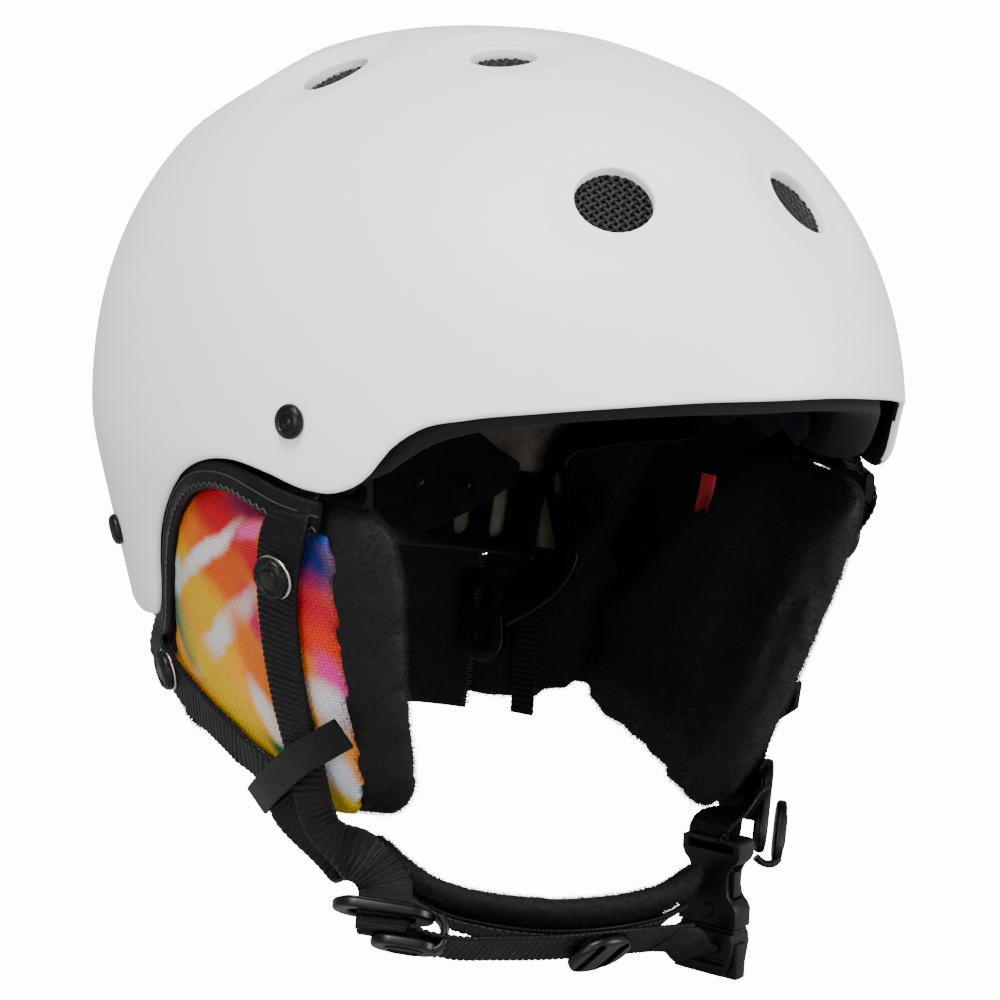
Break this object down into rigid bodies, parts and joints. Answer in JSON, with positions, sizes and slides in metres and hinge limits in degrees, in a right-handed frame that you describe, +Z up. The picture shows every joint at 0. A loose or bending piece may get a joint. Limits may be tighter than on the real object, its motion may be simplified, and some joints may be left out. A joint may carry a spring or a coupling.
{
  "type": "ski helmet",
  "caption": "Hard-shell ski helmet with eleven round vents, folding ear pads, a strap harness and a side-release chin buckle.",
  "frame": {"origin": "centre of the shell's widest section, where the head's middle sits", "axes": "+Z up out of the crown, -Y the way the wearer faces, -X the wearer's right"},
  "size_m": [0.22, 0.2929, 0.279],
  "materials": {
    "shell_white": "satin white painted hard shell",
    "liner_black": "moulded foam liner, black",
    "vent_black": "coarse black basket-weave mesh",
    "trim_black": "moulded black plastic, satin",
    "webbing_black": "ribbed black webbing",
    "printed_canvas": "canvas with soft multicolour dye",
    "plush_black": "black plush pile",
    "velour_navy": "dark navy velour",
    "fleece_black": "black fleece",
    "snap_metal": "black metal press snap",
    "tag_red": "red woven tag"
  },
  "bodies": {
    "helmet": {"outer_shell": "shell_white", "impact_liner": "liner_black", "brow_pad": "velour_navy", "crown_pad": "velour_navy", "side_pad_right": "velour_navy", "side_pad_left": "velour_navy", "rear_pad": "velour_navy", "neck_roll": "fleece_black", "front_strap_right": "webbing_black", "rear_strap_right": "webbing_black", "front_strap_left": "webbing_black", "rear_strap_left": "webbing_black", "strap_keeper_right": "webbing_black", "strap_keeper_left": "webbing_black", "divider_plate_right": "trim_black", "divider_plate_left": "trim_black", "chin_pad": "fleece_black", "chin_webbing": "webbing_black", "buckle_female": "trim_black", "buckle_loop": "webbing_black", "webbing_slider": "trim_black", "goggle_clip_base": "trim_black", "vent_mesh_crown": "vent_black", "vent_mesh_front_right": "vent_black", "vent_mesh_front_left": "vent_black", "vent_mesh_top_front_right": "vent_black", "vent_mesh_top_front_left": "vent_black", "vent_mesh_side_right": "vent_black", "vent_mesh_side_left": "vent_black", "vent_mesh_rear_side_right": "vent_black", "vent_mesh_rear_side_left": "vent_black", "vent_mesh_rear_right": "vent_black", "vent_mesh_rear_left": "vent_black", "rivet_front_right": "trim_black", "snap_front_right": "snap_metal", "rivet_front_left": "trim_black", "snap_front_left": "snap_metal", "rivet_rear_right": "trim_black", "snap_rear_right": "snap_metal", "rivet_rear_left": "trim_black", "snap_rear_left": "snap_metal"},
    "buckle_male_half": {"buckle_male": "trim_black", "buckle_webbing": "webbing_black"},
    "prong_front": {"buckle_prong_front": "trim_black"},
    "prong_rear": {"buckle_prong_rear": "trim_black"},
    "lever_right": {"divider_lever_right": "trim_black"},
    "lever_left": {"divider_lever_left": "trim_black"},
    "ear_pad_right": {"ear_pad_right": "printed_canvas", "ear_lining_right": "plush_black"},
    "ear_pad_left": {"ear_pad_left": "printed_canvas", "ear_lining_left": "plush_black", "pocket_tag": "tag_red"},
    "fit_cradle": {"fit_cradle": "trim_black", "cradle_pad": "velour_navy", "fit_arm_right": "trim_black", "fit_arm_left": "trim_black"},
    "goggle_clip": {"goggle_clip_strap": "webbing_black"}
  },
  "joints": [
    {"name": "buckle_release", "type": "slide", "parent": "helmet", "child": "buckle_male_half", "axis": [0, 0, -1], "range_m": [0, 0.024]},
    {"name": "prong_front_press", "type": "slide", "parent": "buckle_male_half", "child": "prong_front", "axis": [-0.3624, 0.932, 0], "range_m": [0, 0.0018], "stiffness_N_per_m": 900},
    {"name": "prong_rear_press", "type": "slide", "parent": "buckle_male_half", "child": "prong_rear", "axis": [0.3624, -0.932, 0], "range_m": [0, 0.0018], "stiffness_N_per_m": 900},
    {"name": "lever_right_open", "type": "hinge", "parent": "helmet", "child": "lever_right", "pos_m": [-0.05556, -0.07879, -0.12899], "axis": [-0.4051, -0.7578, 0.5114], "range_deg": [0, 20]},
    {"name": "lever_left_open", "type": "hinge", "parent": "helmet", "child": "lever_left", "pos_m": [0.06867, -0.06, -0.13098], "axis": [0.522, 0.812, -0.261], "range_deg": [0, 80]},
    {"name": "ear_pad_right_fold", "type": "hinge", "parent": "helmet", "child": "ear_pad_right", "pos_m": [-0.0985, -0.01, -0.012], "axis": [0, 1, 0], "range_deg": [-12, 0]},
    {"name": "ear_pad_left_fold", "type": "hinge", "parent": "helmet", "child": "ear_pad_left", "pos_m": [0.0985, -0.01, -0.012], "axis": [0, 1, 0], "range_deg": [0, 12]},
    {"name": "fit_cradle_adjust", "type": "slide", "parent": "helmet", "child": "fit_cradle", "axis": [0, -1, 0], "range_m": [0, 0.012]},
    {"name": "goggle_clip_swing", "type": "hinge", "parent": "helmet", "child": "goggle_clip", "pos_m": [0, 0.1503, -0.009], "axis": [1, 0, 0], "range_deg": [0, 100]}
  ],
  "couplings": [
    {"joint": "prong_rear_press", "follows": "prong_front_press", "ratio": 1}
  ]
}
